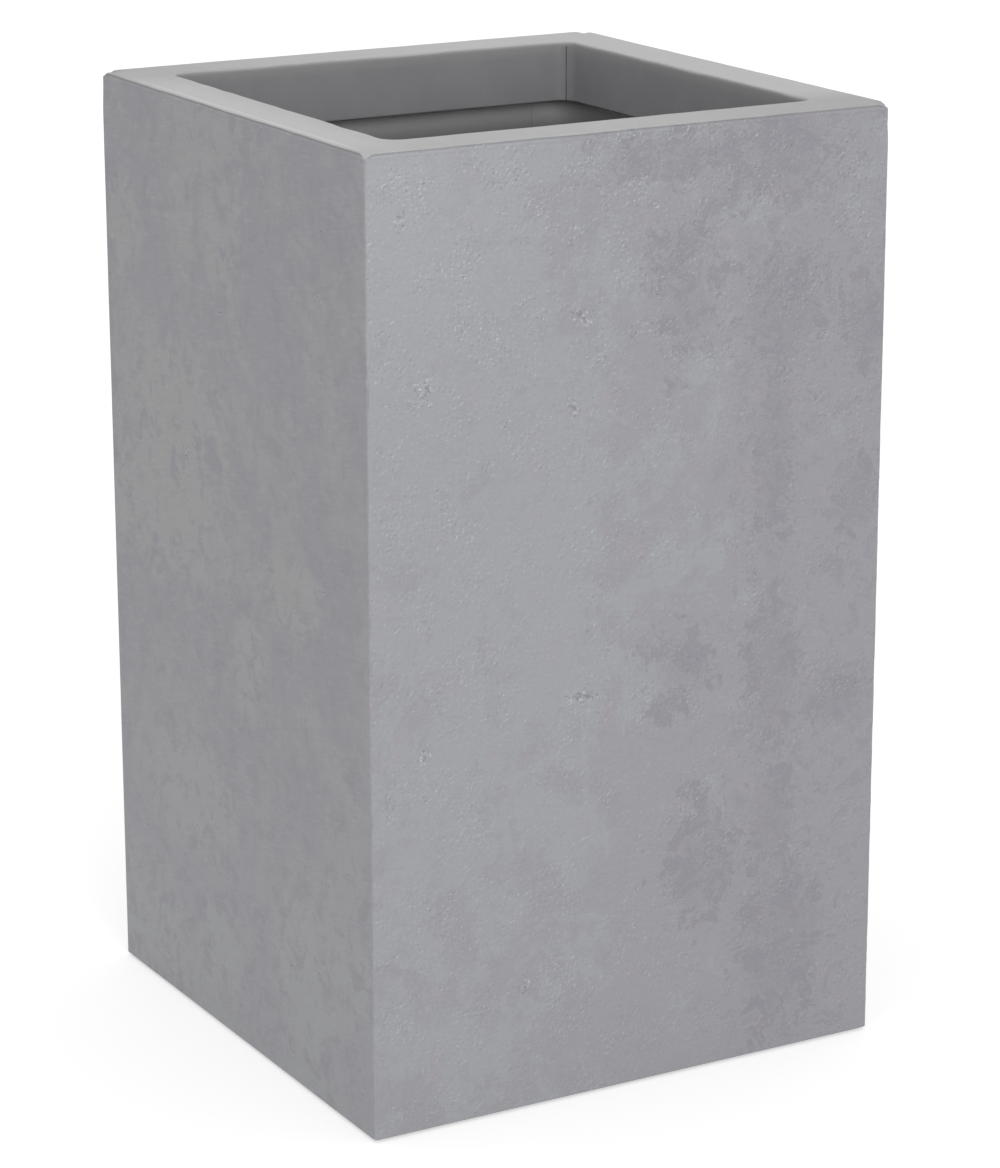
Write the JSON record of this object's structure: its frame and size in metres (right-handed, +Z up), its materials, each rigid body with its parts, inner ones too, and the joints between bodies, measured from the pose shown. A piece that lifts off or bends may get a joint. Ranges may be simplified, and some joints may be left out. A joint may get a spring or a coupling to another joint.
{
  "type": "square planter",
  "caption": "Tall square floor planter with a concrete finish: flat smooth lip over textured walls, turned-down inner band, loose shelf and lift-out drained insert with wire handles.",
  "frame": {"origin": "middle of the footprint, on the floor", "axes": "+Z up; the walls face -Y (the brightly lit one in the picture), +X, +Y and -X (the darker one in the picture)"},
  "size_m": [0.4, 0.4, 0.67],
  "materials": {
    "shell_concrete": "matte fine-grained concrete with small pits and soft cloudy patches",
    "lip_concrete": "smooth matte light grey concrete",
    "band_concrete": "smooth matte mid grey coat",
    "raw_composite": "rough unpainted cement composite",
    "screw_steel": "zinc-plated steel",
    "foot_rubber": "matte black rubber",
    "plug_rubber": "matte black rubber",
    "shelf_board": "matte dark grey recycled plastic board",
    "insert_plastic": "matte anthracite moulded plastic",
    "handle_wire": "satin stainless wire",
    "grip_rubber": "matte black sleeve"
  },
  "bodies": {
    "planter": {"outer_shell": "shell_concrete", "lip": "lip_concrete", "band_front": "band_concrete", "band_right": "band_concrete", "band_back": "band_concrete", "band_left": "band_concrete", "corner_post_front_left": "raw_composite", "corner_post_front_right": "raw_composite", "corner_post_back_right": "raw_composite", "corner_post_back_left": "raw_composite", "base_plate": "raw_composite", "base_screws": "screw_steel", "foot_front_left": "foot_rubber", "foot_front_right": "foot_rubber", "foot_back_right": "foot_rubber", "foot_back_left": "foot_rubber", "shelf_bracket_front": "raw_composite", "shelf_bracket_right": "raw_composite", "shelf_bracket_back": "raw_composite", "shelf_bracket_left": "raw_composite"},
    "shelf": {"shelf": "shelf_board"},
    "base_plug": {"base_plug": "plug_rubber"},
    "insert": {"insert": "insert_plastic"},
    "insert_plug": {"insert_plug": "plug_rubber"},
    "handle_left": {"handle_left": "handle_wire", "handle_grip_left": "grip_rubber"},
    "handle_right": {"handle_right": "handle_wire", "handle_grip_right": "grip_rubber"}
  },
  "joints": [
    {"name": "shelf_lift", "type": "slide", "parent": "planter", "child": "shelf", "axis": [0, 0, 1], "range_m": [0, 0.36]},
    {"name": "base_plug_pull", "type": "slide", "parent": "planter", "child": "base_plug", "axis": [0, 0, 1], "range_m": [0, 0.06]},
    {"name": "insert_lift", "type": "slide", "parent": "shelf", "child": "insert", "axis": [0, 0, 1], "range_m": [0, 0.36]},
    {"name": "insert_plug_pull", "type": "slide", "parent": "insert", "child": "insert_plug", "axis": [0, 0, 1], "range_m": [0, 0.35]},
    {"name": "handle_left_swing", "type": "hinge", "parent": "insert", "child": "handle_left", "pos_m": [-0.138, 0, 0.561], "axis": [0, -1, 0], "range_deg": [0, 180]},
    {"name": "handle_right_swing", "type": "hinge", "parent": "insert", "child": "handle_right", "pos_m": [0.138, 0, 0.561], "axis": [0, 1, 0], "range_deg": [0, 180]}
  ]
}
